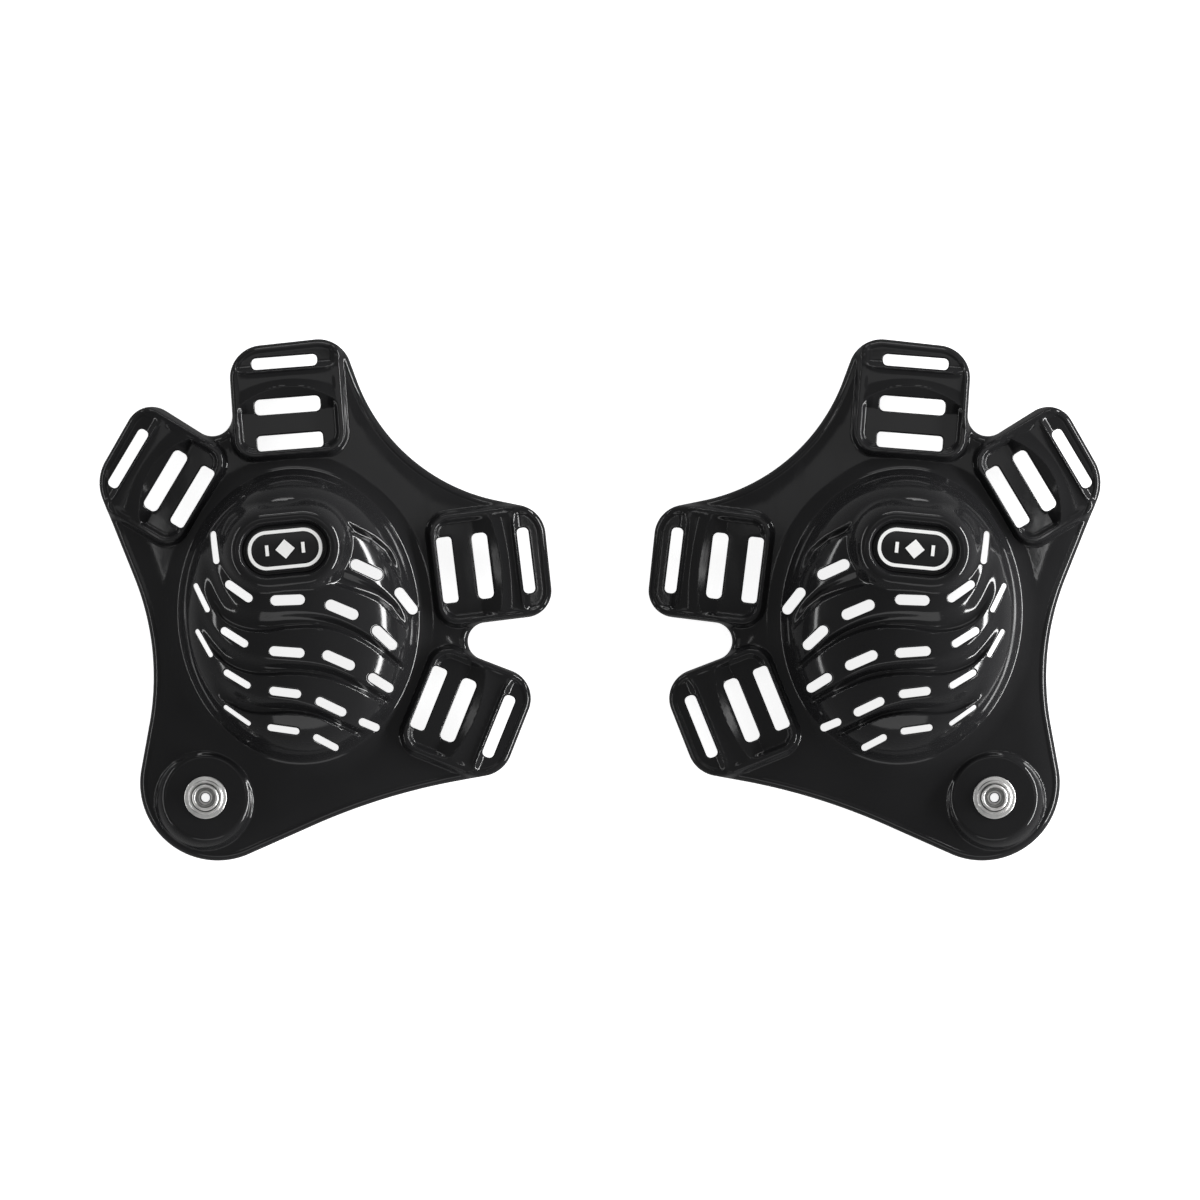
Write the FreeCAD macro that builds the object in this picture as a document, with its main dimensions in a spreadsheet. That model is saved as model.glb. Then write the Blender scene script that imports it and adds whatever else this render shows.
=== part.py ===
import FreeCAD, Part
import math
import os
import Sketcher

from FreeCAD import Placement, Rotation, Vector

# A pair of moulded ear guards for strap-on sports headgear. Each guard is a
# vented dome on a thin flange, with four strap tabs, a snap fastener on a
# round boss and an oval badge. The guards lie beside each other with their
# domes up. The left guard is modelled in its own frame: its origin is on the
# flange's outer face under the dome, +Y runs towards the top tab, and the
# other guard lies towards +X. The right guard is its mirror image.

SIZES = (
    # The pair
    ("pair_offset", 90, "guard origin to the middle plane between the guards"),
    # Flange: part of a sphere, so that the guard follows the side of a head
    ("flange_radius", 380, "radius of the flange's outer face"),
    ("wall", 2.2, "wall thickness of the moulding"),
    ("tall", 60, "height of the prisms that cut shapes through the shell"),
    # Dome
    ("dome_height", 28, "top of the dome above the flange's outer face"),
    ("dome_across", 75, "dome at its foot, across the guard"),
    ("dome_along", 93, "dome at its foot, along the guard"),
    ("dome_foot_x", -0.4, "centre of the dome's foot"),
    ("dome_foot_y", -3.8, "centre of the dome's foot"),
    ("dome_top_x", -5.0, "top of the dome"),
    ("dome_top_y", 9.0, "top of the dome"),
    ("dome_turn", 4, "turn of the oval sections, in degrees"),
    ("dome_fullness", 2.3, "exponent of the dome's profile: 2 is an ellipse"),
    ("dome_foot", -3.4, "level where the dome's skin ends inside the flange"),
    # Vents
    ("vent_length", 10, "length of a vent"),
    ("vent_width", 3.3, "width of a vent, square to the skin"),
    ("round_end", 0.48, "corner radius of a vent or badge outline, as a share of its width"),
    # Strap tabs
    ("tab_start", 0, "tab's inner edge"),
    ("tab_length", 36, "tab along its own axis"),
    ("tab_width", 35, "tab across its axis"),
    ("tab_corner", 7, "radius of the tab's raised corners"),
    ("tab_rise", 2.4, "raised rim and bar above the flange"),
    ("tray_gap", 0.5, "tray floor above the flange's outer face"),
    ("tray_width", 30, "tray across the tab's axis"),
    ("tray_start", 2.2, "start of the inner tray from the tab's inner edge"),
    ("tray_end", 19.5, "end of the inner tray, where the wide bar begins"),
    ("outer_tray_start", 26.8, "start of the outer slot's tray"),
    ("outer_tray_end", 32.8, "end of the outer slot's tray"),
    ("tray_corner", 2.9, "corner radius of the trays"),
    ("slot_length", 19.8, "strap slot for 19 mm webbing"),
    ("slot_inner_at", 5.1, "inner slot from the tab's inner edge"),
    ("slot_inner_width", 4.6, "width of the inner slot"),
    ("slot_inner_corner", 1.1, "corner radius of the inner slot"),
    ("slot_middle_at", 16, "middle slot from the tab's inner edge"),
    ("slot_middle_width", 4.7, "width of the middle slot"),
    ("slot_middle_corner", 1.6, "corner radius of the middle slot"),
    ("slot_outer_at", 29.1, "outer slot from the tab's inner edge"),
    ("slot_outer_width", 3.5, "width of the outer slot"),
    ("slot_outer_corner", 1.4, "corner radius of the outer slot"),
    # Snap fastener and its boss
    ("snap_x", -28.4, "snap centre"),
    ("snap_y", -59.6, "snap centre"),
    ("snap_seat", -1.7, "level of the boss's flat top"),
    ("boss_foot_radius", 14.75, "boss at its foot"),
    ("boss_top_radius", 12.5, "boss at its top"),
    ("boss_height", 5.2, "boss from its top down into the flange"),
    ("boss_recess_radius", 9, "recess behind the boss"),
    ("boss_wall", 2.4, "wall that the snap is riveted through"),
    ("snap_hole_radius", 1.9, "hole through the boss for the eyelet"),
    ("stud_flange_radius", 6.4, "stud's flange"),
    ("stud_flange_thick", 0.6, "stud's flange thickness"),
    ("stud_step_radius", 5.0, "raised step round the knob"),
    ("stud_step_top", 0.9, "top of that step"),
    ("stud_knob_radius", 4.0, "knob that a socket snaps over"),
    ("stud_knob_top", 3.0, "top of the knob above the boss"),
    ("stud_knob_round", 0.5, "rounding at the knob's top"),
    ("stud_cup_radius", 2.9, "cup in the knob"),
    ("stud_bore_radius", 1.75, "hole in the stud's floor"),
    ("eyelet_bore_radius", 1.35, "hole through the eyelet"),
    ("eyelet_barrel_radius", 1.7, "outside of the eyelet's barrel"),
    ("eyelet_roll_radius", 2.2, "rolled rim of the eyelet"),
    ("eyelet_roll_top", 1.35, "top of the rolled rim above the boss"),
    ("eyelet_flange_radius", 5.2, "eyelet's flange behind the boss"),
    ("eyelet_flange_thick", 0.5, "thickness of that flange"),
    # Badge: an oval boss on the dome, with a plate and a print let into it
    ("badge_x", -3.8, "badge centre"),
    ("badge_y", 14.9, "badge centre"),
    ("badge_turn", 5.5, "turn of the badge, in degrees"),
    ("badge_level", 29.4, "flat top of the badge's boss"),
    ("badge_boss_length", 30.5, "boss at its top"),
    ("badge_boss_width", 18.5, "boss at its top"),
    ("badge_boss_depth", 14, "boss from its top down into the dome"),
    ("badge_plate_length", 23.8, "badge plate"),
    ("badge_plate_width", 13.3, "badge plate"),
    ("badge_plate_thick", 0.9, "badge plate"),
    ("badge_groove", 0.35, "gap round the plate"),
    ("badge_pocket_depth", 1.1, "pocket that holds the plate"),
    ("print_length", 22.2, "outside of the printed ring"),
    ("print_width", 11.7, "outside of the printed ring"),
    ("print_line", 1.0, "line width of the ring"),
    ("print_thick", 0.15, "thickness of the print"),
    ("print_diamond", 2.9, "half diagonal of the printed diamond"),
    ("print_bar_length", 3.2, "bars beside the diamond"),
    ("print_bar_width", 1.0, "bars beside the diamond"),
    ("print_bar_at", 5.4, "bars from the badge's centre"),
)

# Corners of the guard's edge, clockwise from the top tab, each with the
# radius of the arc that rounds it: x, y, radius.
EDGE_CORNERS = (
    (-21.8, 75.2, 9.8),
    (12.0, 78.9, 10),
    (28.0, 36.0, 57),
    (72.9, 26.8, 9.5),
    (76.2, -4.5, 8),
    (33.0, -9.8, 5.6),
    (71.9, -24.8, 8.9),
    (61.1, -52.1, 9.8),
    (24.4, -58.9, 190),
    (-56.0, -94.7, 23.3),
    (-41.2, -15.0, 79),
    (-61.8, 35.9, 13),
    (-47.5, 61.0, 8),
    (-19.6, 43.5, 6.1),
)

# Strap tabs: name, middle of the tab's inner edge, the direction that the tab
# points in, in degrees from +X, and how much of its inner half shows from
# above. The inner half of two of the tabs leans away from the flange, so its
# lengths come out shorter in plan.
TABS = (
    ("top", -2.6, 42.2, 94.5, 1),
    ("upper", -28.5, 28.4, 149.3, 0.87),
    ("side", 39.2, 8.1, 7, 0.98),
    ("lower", 34.4, -28.1, -22, 0.88),
)

# Vents row by row, from the badge downwards: x, y, the direction of the vent's
# length in degrees, and the share of the full length that shows from above.
# Each row runs along one S-shaped sweep.
VENT_ROWS = (
    ((20.3, 8.8, -25, 1.02), (31.9, -0.6, -53, 0.93)),
    ((-25.1, 15.4, -82, 1), (-17.7, 2.3, -35, 0.96), (-3.1, -0.3, 2, 1.03), (13.0, -3.2, -23, 1.04),
     (25.6, -11.6, -44, 0.92)),
    ((-29.1, 0.4, -63, 0.96), (-19.1, -11.4, -32, 0.94), (-3.4, -15.8, -4, 1.06), (12.0, -18.3, -24, 1.03),
     (24.4, -25.1, -33, 0.84)),
    ((-28.4, -13.2, -60, 0.95), (-18.4, -23.9, -31, 0.92), (-4.0, -27.9, -7, 0.96), (9.6, -32.2, -26, 0.99),
     (20.8, -37.7, -24, 0.65)),
    ((-18.6, -34.8, -35, 0.98), (-4.7, -39.0, -8, 0.97), (7.9, -43.0, -29, 0.83)),
)

# A vent cut square to the skin looks narrower from above where the dome
# falls away. This oval gives that narrowing: centre and half sizes.
VENT_FADE = (15, 5, 51, 64)

# Heights of the dome's oval sections, as shares of the dome's height.
DOME_SHARES = (0, 0.2, 0.4, 0.58, 0.73, 0.85, 0.93, 0.975)


doc = FreeCAD.newDocument("ear_guards")
sheet = doc.addObject("Spreadsheet::Sheet", "sizes")
for row, (alias, value, note) in enumerate(SIZES, start=1):
    sheet.set(f"A{row}", note)
    sheet.set(f"B{row}", str(value))
    sheet.setAlias(f"B{row}", alias)
doc.recompute()


def size(alias):
    """A driving dimension as a plain number."""
    return float(sheet.get(alias))


def bind(thing, **expressions):
    """Tie properties to the sheet. A dot in a property's path is written __."""
    for path, expression in expressions.items():
        thing.setExpression(path.replace("__", "."), expression)
    return thing


def add(kind, name, **expressions):
    """A document object with bound sizes."""
    return bind(doc.addObject(kind, name), **expressions)


def boolean(kind, name, base, tool):
    result = doc.addObject(f"Part::{kind}", name)
    result.Base = base
    result.Tool = tool
    return result


def fuse_all(name, shapes):
    result = doc.addObject("Part::MultiFuse", name)
    result.Shapes = shapes
    return result


def sketch_on(body, role, name):
    """A sketch on one of a body's own origin planes."""
    sketch = body.newObject("Sketcher::SketchObject", name)
    plane = next(item for item in body.Origin.OriginFeatures if item.Role == role)
    sketch.AttachmentSupport = [(plane, "")]
    sketch.MapMode = "FlatFace"
    return sketch


def draw_rounded(sketch, corners):
    """A closed outline of straight runs with a tangent arc at each corner."""
    runs = []
    count = len(corners)
    for index, (x, y, radius) in enumerate(corners):
        corner = Vector(x, y, 0)
        before = Vector(*corners[index - 1][:2], 0) - corner
        after = Vector(*corners[(index + 1) % count][:2], 0) - corner
        half_angle = before.getAngle(after) / 2
        before.normalize()
        after.normalize()
        reach = radius / math.tan(half_angle)
        inward = (before + after).normalize()
        middle = corner + inward * (radius / math.sin(half_angle) - radius)
        runs.append((corner + before * reach, middle, corner + after * reach))
    for index, (start, middle, end) in enumerate(runs):
        sketch.addGeometry(Part.ArcOfCircle(start, middle, end))
        sketch.addGeometry(Part.LineSegment(end, runs[(index + 1) % count][0]))


def worth(expression):
    """The present value of an expression on the sheet's cells."""
    return float(sheet.evalExpression(expression.replace("sizes.", "")))


def draw_slot(sketch, x, y, angle, length, width, corner):
    """A slot with rounded corners, its length at an angle from the sketch's x.

    Its corner radius and straight runs are constraints tied to the sheet.
    """
    along = Vector(math.cos(math.radians(angle)), math.sin(math.radians(angle)), 0)
    across = Vector(-along.y, along.x, 0)
    radius = worth(corner)
    reach = worth(length) / 2 - radius
    side = worth(width) / 2 - radius
    centre = Vector(x, y, 0)
    first = sketch.GeometryCount
    turns = ((1, 1), (-1, 1), (-1, -1), (1, -1))
    starts = (along, across, along * -1, across * -1)
    arcs = []
    for index, (way_along, way_across) in enumerate(turns):
        middle = centre + along * (way_along * reach) + across * (way_across * side)
        start = starts[index] * radius
        end = starts[(index + 1) % 4] * radius
        halfway = (start + end) * (1 / math.sqrt(2))
        arcs.append((middle + start, middle + halfway, middle + end))
    for index, (start, halfway, end) in enumerate(arcs):
        sketch.addGeometry(Part.ArcOfCircle(start, halfway, end))
        sketch.addGeometry(Part.LineSegment(end, arcs[(index + 1) % 4][0]))
    for step in range(8):
        sketch.addConstraint(Sketcher.Constraint("Tangent", first + step, 2, first + (step + 1) % 8, 1))
    radius_index = sketch.addConstraint(Sketcher.Constraint("Radius", first, radius))
    length_index = sketch.addConstraint(Sketcher.Constraint("Distance", first + 1, 2 * reach))
    width_index = sketch.addConstraint(Sketcher.Constraint("Distance", first + 3, 2 * side))
    sketch.setExpression(f"Constraints[{radius_index}]", corner)
    sketch.setExpression(f"Constraints[{length_index}]", f"{length} - 2 * ({corner})")
    sketch.setExpression(f"Constraints[{width_index}]", f"({width}) - 2 * ({corner})")


def draw_round_slot(sketch, x, y, angle, length, width):
    """A slot whose ends are as good as half round."""
    draw_slot(sketch, x, y, angle, length, width, f"({width}) * sizes.round_end")


def prism(name, bottom, height, draw):
    """A body padded upwards from a sketch that lies at the given level."""
    body = doc.addObject("PartDesign::Body", name)
    sketch = sketch_on(body, "XY_Plane", f"{name}_sketch")
    bind(sketch, AttachmentOffset__Base__z=bottom)
    draw(sketch)
    pad = body.newObject("PartDesign::Pad", f"{name}_pad")
    pad.Profile = sketch
    bind(pad, Length=height)
    return body


def turned(name, x, y, seat, draw):
    """A body turned about an upright axis from a half section."""
    body = doc.addObject("PartDesign::Body", name)
    sketch = sketch_on(body, "XZ_Plane", f"{name}_section")
    draw(sketch)
    turning = body.newObject("PartDesign::Revolution", f"{name}_turning")
    turning.Profile = sketch
    turning.ReferenceAxis = (sketch, ["V_Axis"])
    turning.Angle = 360
    bind(body, Placement__Base__x=x, Placement__Base__y=y, Placement__Base__z=seat)
    return body


def draw_section(sketch, points):
    """A closed outline of straight lines, point by point."""
    corners = [Vector(x, y, 0) for x, y in points]
    for index, corner in enumerate(corners):
        sketch.addGeometry(Part.LineSegment(corner, corners[(index + 1) % len(corners)]))


def sphere(name, rise):
    """A ball whose top is the flange's outer face raised by an expression."""
    radius = f"sizes.flange_radius + ({rise})"
    return add("Part::Sphere", name, Radius=radius, Placement__Base__z="-sizes.flange_radius")


def layer(name, low, high):
    """The space between two levels above the flange's outer face."""
    return boolean("Cut", name, sphere(f"{name}_outer", high), sphere(f"{name}_inner", low))


# ---------------------------------------------------------------- the shell

def along_tab(place, lean):
    """Plan distance of a place from the tab's inner edge: the lean shortens
    what lies inside the middle slot."""
    reach = size(place)
    inner_half = min(reach, size("slot_middle_at"))
    return inner_half * lean + reach - inner_half


def flange_and_tabs():
    """The flange, and the raised strap tabs with their trays cut out."""
    edge = prism("edge", "-sizes.tall / 2", "sizes.tall", lambda sketch: draw_rounded(sketch, EDGE_CORNERS))
    flange = boolean("Common", "flange", edge, layer("skin", "-sizes.wall", "0"))
    raised_space = layer("raised_space", "-sizes.wall", "sizes.tab_rise")
    tray_space = layer("tray_space", "sizes.tray_gap", "sizes.tall / 2")
    pads = []
    trays = []
    for name, x, y, direction, lean in TABS:
        def draw_box(sketch, start, end, width, corner):
            half = size(width) / 2
            near = along_tab(start, lean)
            far = along_tab(end, lean)
            turn = math.radians(direction)
            corners = []
            for along, across in ((near, -half), (far, -half), (far, half), (near, half)):
                corner_x = x + along * math.cos(turn) - across * math.sin(turn)
                corner_y = y + along * math.sin(turn) + across * math.cos(turn)
                corners.append((corner_x, corner_y, size(corner)))
            draw_rounded(sketch, corners)

        def draw_pad(sketch):
            draw_box(sketch, "tab_start", "tab_length", "tab_width", "tab_corner")

        def draw_trays(sketch):
            draw_box(sketch, "tray_start", "tray_end", "tray_width", "tray_corner")
            draw_box(sketch, "outer_tray_start", "outer_tray_end", "tray_width", "tray_corner")

        pads.append(prism(f"{name}_tab", "-sizes.tall / 2", "sizes.tall", draw_pad))
        trays.append(prism(f"{name}_trays", "-sizes.tall / 2", "sizes.tall", draw_trays))
    raised = boolean("Common", "raised_tabs", fuse_all("tab_prisms", pads), raised_space)
    tray_cut = boolean("Common", "tray_cut", fuse_all("tray_prisms", trays), tray_space)
    inside_edge = boolean("Common", "tabs_in_edge", raised, edge)
    return fuse_all("flange_with_tabs", [flange, inside_edge]), tray_cut


def dome_loft(name, inset):
    """A solid dome through oval sections, smaller all round by an expression.

    At a share t of the height, the half sizes shrink by (1 - t^p)^(1/p), and
    the oval's centre moves from the foot's centre to the top's.
    """
    sections = []
    for index, share in enumerate(DOME_SHARES):
        shrink = f"(1 - {share} ^ sizes.dome_fullness) ^ (1 / sizes.dome_fullness)"
        section = add(
            "Part::Ellipse", f"{name}_section_{index}",
            MajorRadius=f"(sizes.dome_along / 2 - ({inset})) * {shrink}",
            MinorRadius=f"(sizes.dome_across / 2 - ({inset})) * {shrink}",
        )
        section.Placement = Placement(Vector(), Rotation(Vector(0, 0, 1), 90 + size("dome_turn")))
        bind(
            section,
            Placement__Base__x=f"sizes.dome_foot_x + (sizes.dome_top_x - sizes.dome_foot_x) * {share}",
            Placement__Base__y=f"sizes.dome_foot_y + (sizes.dome_top_y - sizes.dome_foot_y) * {share}",
            Placement__Base__z=f"sizes.dome_foot + (sizes.dome_height - sizes.dome_foot - ({inset})) * {share}",
        )
        sections.append(section)
    loft = doc.addObject("Part::Loft", name)
    loft.Sections = sections
    loft.Solid = True
    return loft


def ear_cavity():
    """The hollow for the ear: the dome's inside, open through the flange."""
    inside = dome_loft("dome_inside", "sizes.wall")
    mouth = doc.addObject("Part::Extrusion", "cavity_mouth")
    mouth.Base = doc.getObject("dome_inside_section_0")
    mouth.Dir = Vector(0, 0, -1)
    mouth.DirMode = "Custom"
    mouth.Solid = True
    bind(mouth, LengthFwd="sizes.tall / 2")
    return fuse_all("ear_cavity", [inside, mouth])


def snap_boss():
    """The raised round boss, with the recess behind it and the hole through."""
    centre = {"Placement__Base__x": "sizes.snap_x", "Placement__Base__y": "sizes.snap_y"}
    boss = add(
        "Part::Cone", "snap_boss", Radius1="sizes.boss_foot_radius", Radius2="sizes.boss_top_radius",
        Height="sizes.boss_height", Placement__Base__z="sizes.snap_seat - sizes.boss_height", **centre,
    )
    recess = add(
        "Part::Cylinder", "snap_recess", Radius="sizes.boss_recess_radius", Height="sizes.tall / 2",
        Placement__Base__z="sizes.snap_seat - sizes.boss_wall - sizes.tall / 2", **centre,
    )
    hole = add(
        "Part::Cylinder", "snap_hole", Radius="sizes.snap_hole_radius", Height="sizes.tall",
        Placement__Base__z="sizes.snap_seat - sizes.tall / 2", **centre,
    )
    return boss, recess, hole


def badge_prism(name, bottom, height, length, width):
    """A round-ended upright block on the badge's centre."""
    def draw(sketch):
        draw_round_slot(sketch, size("badge_x"), size("badge_y"), size("badge_turn"), length, width)

    return prism(name, bottom, height, draw)


def cut_through(body, name, draw):
    """A pocket straight down through the whole body."""
    sketch = sketch_on(body, "XY_Plane", f"{name}_sketch")
    bind(sketch, AttachmentOffset__Base__z="sizes.tall")
    draw(sketch)
    before = body.Shape.Volume
    pocket = body.newObject("PartDesign::Pocket", name)
    pocket.Profile = sketch
    pocket.Type = "ThroughAll"
    doc.recompute()
    if body.Shape.Volume > before - 1:
        raise RuntimeError(f"{name} cut nothing")


def draw_strap_slots(sketch):
    for _, x, y, direction, lean in TABS:
        for place in ("inner", "middle", "outer"):
            reach = along_tab(f"slot_{place}_at", lean)
            slot_x = x + reach * math.cos(math.radians(direction))
            slot_y = y + reach * math.sin(math.radians(direction))
            draw_slot(
                sketch, slot_x, slot_y, direction + 90,
                "sizes.slot_length", f"sizes.slot_{place}_width", f"sizes.slot_{place}_corner",
            )


def draw_vents(sketch):
    fade_x, fade_y, half_x, half_y = VENT_FADE
    for vents in VENT_ROWS:
        for x, y, angle, share in vents:
            fall = ((x - fade_x) / half_x) ** 2 + ((y - fade_y) / half_y) ** 2
            width = f"sizes.vent_width * {math.sqrt(1 - fall):.3f}"
            draw_round_slot(sketch, x, y, angle, f"sizes.vent_length * {share}", width)


def shell():
    """One moulding: flange, tabs, dome, snap boss and badge boss."""
    flange, tray_cut = flange_and_tabs()
    boss, recess, hole = snap_boss()
    badge_boss = badge_prism(
        "badge_boss", "sizes.badge_level - sizes.badge_boss_depth", "sizes.badge_boss_depth",
        "sizes.badge_boss_length", "sizes.badge_boss_width",
    )
    badge_pocket = badge_prism(
        "badge_pocket", "sizes.badge_level - sizes.badge_pocket_depth", "sizes.tall",
        "sizes.badge_plate_length + 2 * sizes.badge_groove", "sizes.badge_plate_width + 2 * sizes.badge_groove",
    )
    outside = fuse_all("outside", [flange, dome_loft("dome_outside", "0"), boss, badge_boss])
    inside = fuse_all("inside", [ear_cavity(), recess, hole, badge_pocket, tray_cut])
    moulding = boolean("Cut", "moulding", outside, inside)
    body = doc.addObject("PartDesign::Body", "left_shell")
    body.BaseFeature = moulding
    doc.recompute()
    cut_through(body, "strap_slots", draw_strap_slots)
    cut_through(body, "vents", draw_vents)
    return body


# ------------------------------------------------------------ snap fastener

def draw_stud(sketch):
    flange = size("stud_flange_radius")
    thick = size("stud_flange_thick")
    edge = thick / 3
    step = size("stud_step_radius")
    step_top = size("stud_step_top")
    knob = size("stud_knob_radius")
    top = size("stud_knob_top")
    bevel = size("stud_knob_round")
    cup = size("stud_cup_radius")
    bore = size("stud_bore_radius")
    draw_section(sketch, (
        (bore, 0), (flange - edge, 0), (flange, edge), (flange, thick - edge), (flange - edge, thick),
        (step, thick), (step - edge, step_top), (knob, step_top), (knob, top - bevel),
        (knob - bevel, top), (cup, top), (cup, thick), (bore, thick),
    ))


def draw_eyelet(sketch):
    bore = size("eyelet_bore_radius")
    barrel = size("eyelet_barrel_radius")
    roll = size("eyelet_roll_radius")
    roll_top = size("eyelet_roll_top")
    floor = size("stud_flange_thick")
    back = -size("boss_wall")
    rear = size("eyelet_flange_radius")
    thick = size("eyelet_flange_thick")
    draw_section(sketch, (
        (bore, back - thick), (rear, back - thick), (rear, back), (barrel, back), (barrel, floor),
        (roll, floor), (roll, (floor + roll_top) / 2), (barrel, roll_top), (bore, roll_top),
    ))


# -------------------------------------------------------------------- badge

def badge_plate():
    return badge_prism(
        "left_badge_plate", "sizes.badge_level - sizes.badge_pocket_depth", "sizes.badge_plate_thick",
        "sizes.badge_plate_length", "sizes.badge_plate_width",
    )


def badge_print():
    """A ring, and a plain diamond between two bars, printed on the plate."""
    face = "sizes.badge_level - sizes.badge_pocket_depth + sizes.badge_plate_thick"
    ring_outside = badge_prism("ring_outside", face, "sizes.print_thick", "sizes.print_length", "sizes.print_width")
    ring_inside = badge_prism(
        "ring_inside", f"{face} - sizes.print_thick", "3 * sizes.print_thick",
        "sizes.print_length - 2 * sizes.print_line", "sizes.print_width - 2 * sizes.print_line",
    )
    ring = boolean("Cut", "printed_ring", ring_outside, ring_inside)
    turn = Rotation(Vector(0, 0, 1), size("badge_turn"))
    centre = Vector(size("badge_x"), size("badge_y"), 0)

    def draw_turned(sketch, points):
        corners = [centre + turn.multVec(Vector(x, y, 0)) for x, y in points]
        draw_section(sketch, [(corner.x, corner.y) for corner in corners])

    reach = size("print_diamond")
    diamond_points = ((reach, 0), (0, reach), (-reach, 0), (0, -reach))
    pieces = [ring, prism("printed_diamond", face, "sizes.print_thick", lambda s: draw_turned(s, diamond_points))]
    half_long = size("print_bar_length") / 2
    half_wide = size("print_bar_width") / 2
    for name, middle in (("bar_one", -size("print_bar_at")), ("bar_two", size("print_bar_at"))):
        points = [(middle + x * half_wide, y * half_long) for x, y in ((-1, -1), (1, -1), (1, 1), (-1, 1))]
        pieces.append(prism(f"printed_{name}", face, "sizes.print_thick", lambda s: draw_turned(s, points)))
    compound = doc.addObject("Part::Compound", "left_badge_print")
    compound.Links = pieces
    return compound


# --------------------------------------------------------------- both guards

snap_place = ("sizes.snap_x", "sizes.snap_y", "sizes.snap_seat")
left_pieces = {
    "shell": shell(),
    "snap_stud": turned("left_snap_stud", *snap_place, draw_stud),
    "snap_eyelet": turned("left_snap_eyelet", *snap_place, draw_eyelet),
    "badge_plate": badge_plate(),
    "badge_print": badge_print(),
}
doc.recompute()

# The guard stands on the lowest points of its flange, at level zero, and its
# length is centred on the X axis.
shell_box = left_pieces["shell"].Shape.optimalBoundingBox(False)
place_cells = (
    ("lift", -shell_box.ZMin, "guard origin above the surface that the guards lie on"),
    ("centring", -shell_box.Center.y, "guard origin from the middle of the guard's length"),
)
for row, (alias, value, note) in enumerate(place_cells, start=len(SIZES) + 1):
    sheet.set(f"A{row}", note)
    sheet.set(f"B{row}", f"{value:.4f}")
    sheet.setAlias(f"B{row}", alias)
doc.recompute()

nodes = {}
for piece_name, piece in left_pieces.items():
    in_guard = piece.Placement.Base
    bind(
        piece,
        Placement__Base__x=f"{in_guard.x} - sizes.pair_offset",
        Placement__Base__y=f"{in_guard.y} + sizes.centring",
        Placement__Base__z=f"{in_guard.z} + sizes.lift",
    )
    mirrored = doc.addObject("Part::Mirroring", f"right_{piece_name}")
    mirrored.Source = piece
    mirrored.Normal = Vector(1, 0, 0)
    nodes[f"left_{piece_name}"] = piece
    nodes[f"right_{piece_name}"] = mirrored
doc.recompute()

for name, node in nodes.items():
    node.Label = name

for thing in doc.Objects:
    if "Invalid" in thing.State or "Error" in thing.State:
        raise RuntimeError(f"{thing.Name} failed: {thing.State}")
for name, node in nodes.items():
    if node.Shape.isNull() or not node.Shape.isValid():
        raise RuntimeError(f"{name} has no valid shape")

os.makedirs("parts", exist_ok=True)
for name, node in nodes.items():
    node.Shape.exportStep(f"parts/{name}.step")
    box = node.Shape.optimalBoundingBox(False)
    corners = (box.XMin, box.YMin, box.ZMin, box.XMax, box.YMax, box.ZMax)
    extent = " ".join(f"{value:.2f}" for value in corners)
    print(f"{name}: {len(node.Shape.Solids)} solids, {node.Shape.Volume:.0f} mm3, {extent}")
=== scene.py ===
import math

import bpy
import numpy as np
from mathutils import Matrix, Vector
from mathutils.geometry import delaunay_2d_cdt


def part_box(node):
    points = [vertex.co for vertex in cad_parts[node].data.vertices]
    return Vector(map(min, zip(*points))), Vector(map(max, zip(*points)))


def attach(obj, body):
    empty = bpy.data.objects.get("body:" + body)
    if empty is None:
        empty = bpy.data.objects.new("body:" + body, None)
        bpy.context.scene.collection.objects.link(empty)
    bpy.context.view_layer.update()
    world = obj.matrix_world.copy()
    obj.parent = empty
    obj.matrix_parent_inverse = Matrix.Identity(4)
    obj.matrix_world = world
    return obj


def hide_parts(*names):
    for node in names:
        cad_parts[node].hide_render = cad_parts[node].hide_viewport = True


# A pair of glossy moulded ear guards. The CAD shells are plain, so both are
# replaced here by finished mouldings: fluted dome, rolled strap tabs, rounded
# edges. One shell is worked out in the left guard's own frame, in millimetres,
# and the other is its mirror image.

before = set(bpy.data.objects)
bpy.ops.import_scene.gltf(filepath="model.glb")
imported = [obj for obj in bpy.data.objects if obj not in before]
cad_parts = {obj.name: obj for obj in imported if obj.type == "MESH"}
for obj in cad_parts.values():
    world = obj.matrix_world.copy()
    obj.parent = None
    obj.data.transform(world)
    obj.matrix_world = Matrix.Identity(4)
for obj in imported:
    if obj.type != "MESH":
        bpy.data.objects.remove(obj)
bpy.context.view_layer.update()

MM = 0.001
SIDES = ("left", "right")

# ------------------------------------------------------------ the guard's plan
# Millimetres in the left guard's own frame: the origin is on the flange's
# outer face under the dome, +Y towards the top tab, +X towards the other guard.

SNAP = (-28.4, -59.6)
SNAP_SEAT = -1.7
SNAP_BORE = 3.8
BADGE = (-3.8, 14.9)
BADGE_TURN = 5.5
BADGE_LEVEL = 29.4
PLATE_LENGTH = 23.8
PLATE_WIDTH = 13.3
POCKET_DEPTH = 1.1
PLATE_FLOOR = BADGE_LEVEL - POCKET_DEPTH

FLANGE_RADIUS = 380
WALL = 2.2

# Corners of the guard's edge, clockwise from the top tab: x, y, radius.
EDGE_CORNERS = (
    (-21.8, 75.2, 9.8), (12.0, 78.9, 10), (28.0, 36.0, 57), (72.9, 26.8, 9.5), (76.2, -4.5, 8),
    (33.0, -9.8, 5.6), (71.9, -24.8, 8.9), (61.1, -52.1, 9.8), (24.4, -58.9, 190), (-56.0, -94.7, 23.3),
    (-41.2, -15.0, 79), (-61.8, 35.9, 13), (-47.5, 61.0, 8), (-19.6, 43.5, 6.1),
)
ARC_STEP = 0.1
LEAST_ARC_PIECES = 4
EDGE_STEP = 0.5

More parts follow.
